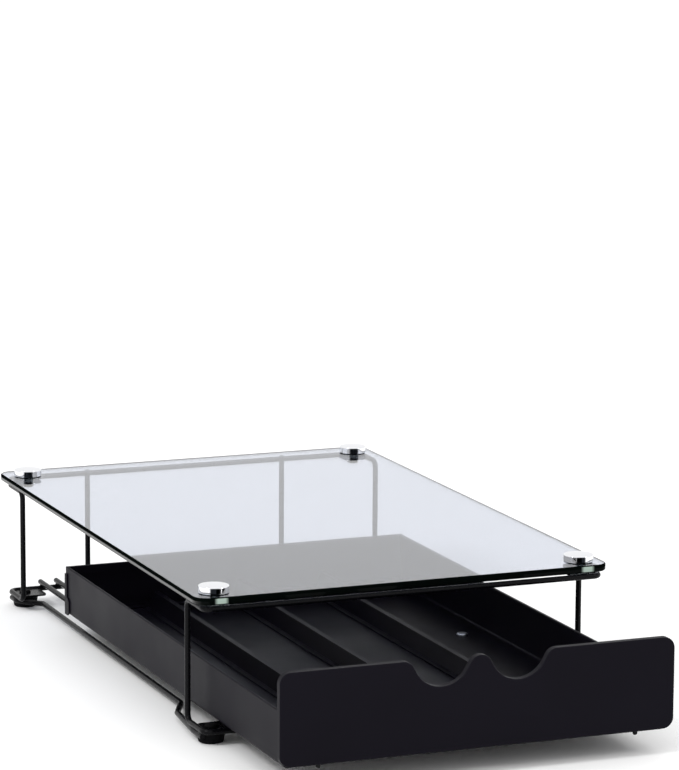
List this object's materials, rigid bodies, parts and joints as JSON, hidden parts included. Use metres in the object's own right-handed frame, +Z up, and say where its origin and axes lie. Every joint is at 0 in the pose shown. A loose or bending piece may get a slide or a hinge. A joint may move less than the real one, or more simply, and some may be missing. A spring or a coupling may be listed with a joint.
{
  "type": "coffee pod drawer",
  "caption": "Low wire stand with a glass top, over a shallow sheet-metal drawer that slides on twin wire rails and holds coffee pods in rows; two finger scallops in its front.",
  "frame": {"origin": "centre of the footprint at rest, on the plane that the feet stand on", "axes": "+Z up, -Y the way the drawer pulls out, +X to the right seen from the front"},
  "size_m": [0.3, 0.5716, 0.1064],
  "materials": {
    "clear_glass": "clear toughened float glass with dark green ground edges",
    "chrome": "mirror-polished plating",
    "black_rubber": "matt moulded rubber",
    "clear_plastic": "milky clear moulding",
    "black_plastic": "fine matt moulding",
    "steel": "zinc-plated",
    "black_steel": "black-oxide fasteners",
    "black_sheet": "satin black powder coat on folded sheet",
    "black_wire": "semi-gloss black coating on drawn wire"
  },
  "bodies": {
    "stand": {"cap_washers": "black_rubber", "front_left_cap": "chrome", "front_left_foot": "black_rubber", "front_left_foot_plate": "black_wire", "front_left_glass_tab": "black_wire", "front_leg_frame": "black_wire", "front_right_cap": "chrome", "front_right_foot": "black_rubber", "front_right_foot_plate": "black_wire", "front_right_glass_tab": "black_wire", "glass_bolts": "black_steel", "glass_nuts": "black_steel", "glass_sleeves": "clear_plastic", "glass_spacers": "clear_plastic", "glass_top": "clear_glass", "left_inner_rail": "black_wire", "left_outer_rail": "black_wire", "left_side_wire": "black_wire", "left_stop_wire": "black_wire", "rear_left_cap": "chrome", "rear_left_foot": "black_rubber", "rear_left_foot_plate": "black_wire", "rear_left_glass_tab": "black_wire", "rear_leg_frame": "black_wire", "rear_right_cap": "chrome", "rear_right_foot": "black_rubber", "rear_right_foot_plate": "black_wire", "rear_right_glass_tab": "black_wire", "right_inner_rail": "black_wire", "right_outer_rail": "black_wire", "right_side_wire": "black_wire", "right_stop_wire": "black_wire"},
    "drawer": {"drawer_back": "black_sheet", "drawer_front": "black_sheet", "drawer_tray": "black_sheet", "front_liner": "black_sheet", "front_screws": "steel", "guide_bushes": "black_plastic", "guide_nuts": "steel", "guide_screws": "steel", "guide_washers": "steel", "lane_rib_1": "black_sheet", "lane_rib_2": "black_sheet", "lane_rib_3": "black_sheet", "left_front_nub": "black_plastic", "right_front_nub": "black_plastic"}
  },
  "joints": [
    {"name": "drawer_slide", "type": "slide", "parent": "stand", "child": "drawer", "axis": [0, -1, 0], "range_m": [-0.112, 0.152]}
  ]
}
